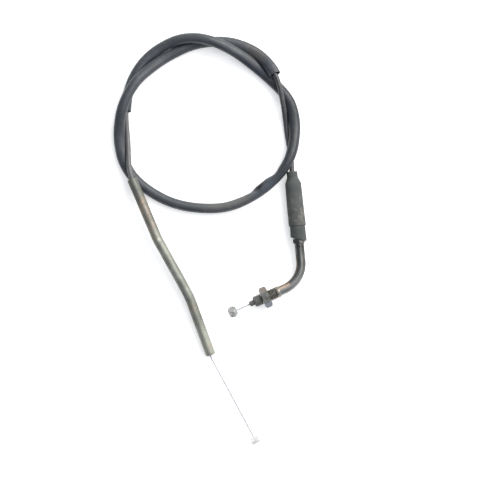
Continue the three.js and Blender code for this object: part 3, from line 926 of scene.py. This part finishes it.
nozzle_outline = rounded([
    (NOZZLE_BORE, 0.0), (NOZZLE_NECK, 0.0), (0.0027, 0.0005), (0.0027, 0.0042), (0.0039, 0.0042),
    (NOZZLE_RADIUS, 0.0051), (NOZZLE_RADIUS, 0.0092), (0.0044, 0.0094), (0.0044, 0.0098),
    (NOZZLE_RADIUS, 0.0100), (NOZZLE_RADIUS, 0.0113), (NOZZLE_NECK, 0.0113),
    (NOZZLE_NECK, NOZZLE_LENGTH), (NOZZLE_BORE, NOZZLE_LENGTH),
], 0.0003, 4)
nozzle = piece("nozzle", grip.rings(nozzle_outline, 48, nozzle_lobes), black_plastic, "elbow",
               ["end_cap"], closed=True, sharp=60)
steady_normals(nozzle)

grip_wire = Line([grip.at(-GRIP_NIPPLE_FROM_TIP + 0.0003), grip.at(GRIP_WIRE_INSIDE)])
piece("grip_wire", stranded(grip_wire), steel_wire, "handlebar_end", ["handlebar_wire"])


def cast_nipple(name, axis, radius, length, finish, body, node):
    """A die-cast barrel with a raised parting line and a shallow dish at each end."""
    half = length / 2
    dish = half - 0.00015
    outline = rounded([
        (0.0, -dish), (radius * 0.55, -dish), (radius * 0.70, -half), (radius, -half),
        (radius, half), (radius * 0.70, half), (radius * 0.55, dish), (0.0, dish),
    ], 0.0004, 5)[4:-4]

    def parting(far, distance, angle):
        line = bell(np.mod(angle, math.pi) - math.pi / 2, 0, 0.05)
        return far + 0.00007 * line * (far > radius * 0.9), distance

    made = piece(name, axis.rings(outline, 64, parting), finish, body, [node])
    return steady_normals(rough_up(made, 0.0016, 0.00006))


nipple_direction = math.cos(GRIP_NIPPLE_LEAN) * UP - math.sin(GRIP_NIPPLE_LEAN) * lateral
nipple_at = grip.at(-GRIP_NIPPLE_FROM_TIP)
nipple_axis = Axis(nipple_at, nipple_direction, up=grip.along)
cast_nipple("grip_nipple", nipple_axis, GRIP_NIPPLE_RADIUS, GRIP_NIPPLE_LENGTH, cast_zinc,
            "handlebar_end", "handlebar_nipple")

# ---------------------------------------------------------------- guide tube and carburettor end


def guide_radius(s, angle):
    """The mouth is rolled in, and the tube is slightly uneven along its length."""
    left = guide_line.length - s
    rolled = 0.00042 * np.clip(1 - left / 0.0014, 0, 1) ** 2
    return GUIDE_RADIUS - rolled + 0.00003 * np.sin(s / 0.004) * np.cos(angle)


guide_rings = hollow(guide_line, guide_radius, GUIDE_BORE, 48, 0.0014, TUBE_EDGE)
piece("guide", guide_rings, galvanised, "root", ["guide_tube"], closed=True)

# Above the first bend the zinc has worn down to a warmer layer, and the bend has a pale spot on top.
worn = galvanised.spread(galvanised.noise(0.0055, detail=7, seed=11.0), 0.42, 0.60, 0, 0.65)
for distance, reach in ((0.026, 0.016), (0.046, 0.012), (0.120, 0.008), (0.156, 0.006)):
    region = galvanised.near(guide_line.at(distance), 0.4 * reach, reach)
    galvanised.stain(galvanised.times(worn, region), rgb(0.340, 0.262, 0.208))
pale_spot_centre = guide_line.at(0.0560) + np.array((0.0012, 0.0, GUIDE_RADIUS))
pale_spot = galvanised.near(pale_spot_centre, 0.0003, 0.0026)
galvanised.stain(galvanised.times(pale_spot, 0.6), rgb(0.60, 0.60, 0.52))

mouth = GUIDE_POINTS[-1]
mouth_axis = unit(mouth - GUIDE_POINTS[-2])
mouth_side = unit((-mouth_axis[1], mouth_axis[0], 0))
wire_corner = mouth + mouth_side * CARB_WIRE_SIDE + UP * CARB_WIRE_UP
wire_start = wire_corner - mouth_axis * CARB_WIRE_INSIDE
wire_axis = unit(CARB_NIPPLE_AT - wire_corner)
carb_line = bent_line([wire_start, wire_corner, CARB_NIPPLE_AT - wire_axis * 0.0003], CARB_WIRE_BEND)
carb_axis = Axis(CARB_NIPPLE_AT, np.cross(wire_axis, UP), up=wire_axis)
carb_nipple = cast_nipple("carburettor_nipple", carb_axis, CARB_NIPPLE_RADIUS, CARB_NIPPLE_LENGTH,
                          bright_zinc, "carb_end", "carb_nipple")
carb_wire = piece("carburettor_wire", stranded(carb_line), steel_wire, "carb_end",
                  ["carb_wire"])
carb_path = carb_line.at(np.linspace(0, carb_line.length, 80))

# ---------------------------------------------------------------- CAD nodes that stay, inside the cable

for node, finish, slot in (
    ("adjuster_barrel", zinc_plate, "zinc_plated"),
    ("adjuster_lock_nut", zinc_plate, "zinc_plated"),
    ("front_conduit_ferrule", zinc_plate, "zinc_plated"),
    ("rear_conduit_ferrule", zinc_plate, "zinc_plated"),
    ("elbow_liner", nylon, "nylon"),
):
    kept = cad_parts[node]
    kept.data.materials.clear()
    kept.data.materials.append(finish.material)

# ---------------------------------------------------------------- floor and light

FLOOR_SIZE = 6.0
FLOOR_BELOW = 0.0001  # keeps it clear of the pieces that rest on it
PAPER_GLOW = 0.45  # makes the ground as bleached as the photo's
half = FLOOR_SIZE / 2
corners = [(-half, -half, 0), (half, -half, 0), (half, half, 0), (-half, half, 0)]
floor_mesh = bpy.data.meshes.new("floor")
floor_mesh.from_pydata(corners, [], [(0, 1, 2, 3)])
floor = bpy.data.objects.new("floor", floor_mesh)
floor.location.z = -FLOOR_BELOW
bpy.context.scene.collection.objects.link(floor)
paper = Finish("paper")
paper.colour(paper.ramp(paper.noise(0.3, detail=2), [
    (0.3, rgb(0.90, 0.90, 0.905)),
    (0.7, rgb(0.93, 0.93, 0.930)),
]))
paper.roughness(0.9)
paper.put(paper.shader, "Emission Color", rgb(1, 1, 1))
paper.put(paper.shader, "Emission Strength", PAPER_GLOW)
floor_mesh.materials.append(paper.material)

# The sky brightens smoothly towards the window's side.
BRIGHT_SIDE = (0.74, 0.62, 0.25)
SKY_FROM, SKY_TO = -0.60, 0.45
SKY = [
    (0.00, rgb(0.15, 0.165, 0.20)),
    (0.55, rgb(0.38, 0.41, 0.46)),
    (1.00, rgb(1.0, 1.0, 1.0)),
]
world = bpy.data.worlds.new("studio")
world.use_nodes = True
sky = world.node_tree
place = sky.nodes.new("ShaderNodeTexCoord")
toward = sky.nodes.new("ShaderNodeVectorMath")
toward.operation = "DOT_PRODUCT"
toward.inputs[1].default_value = BRIGHT_SIDE
share = sky.nodes.new("ShaderNodeMapRange")
share.inputs["From Min"].default_value = SKY_FROM
share.inputs["From Max"].default_value = SKY_TO
shade = sky.nodes.new("ShaderNodeValToRGB")
shade.color_ramp.elements.new(0.5)
for element, (position, colour) in zip(shade.color_ramp.elements, SKY):
    element.position = position
    element.color = colour
background = sky.nodes["Background"]
sky.links.new(place.outputs["Generated"], toward.inputs[0])
sky.links.new(toward.outputs["Value"], share.inputs["Value"])
sky.links.new(share.outputs["Result"], shade.inputs["Fac"])
sky.links.new(shade.outputs["Color"], background.inputs["Color"])
background.inputs["Strength"].default_value = 1.0
bpy.context.scene.world = world


def softbox(name, at, target, size, power, colour):
    lamp = bpy.data.lights.new(name, "AREA")
    lamp.shape = "RECTANGLE"
    lamp.size, lamp.size_y = size
    lamp.energy = power
    lamp.color = colour
    made = bpy.data.objects.new(name, lamp)
    made.location = at
    made.rotation_mode = "QUATERNION"
    made.rotation_quaternion = (Vector(at) - Vector(target)).to_track_quat("Z", "Y")
    bpy.context.scene.collection.objects.link(made)


MIDDLE = (0.0, 0.06, 0.0)
softbox("window", (0.70, 0.95, 0.95), MIDDLE, (1.2, 0.8), 19.0, (1.0, 0.98, 0.95))
softbox("ceiling", (0.60, 0.24, 1.30), MIDDLE, (0.7, 0.7), 3.5, (1.0, 0.99, 0.98))

bpy.context.scene.view_settings.view_transform = "Standard"
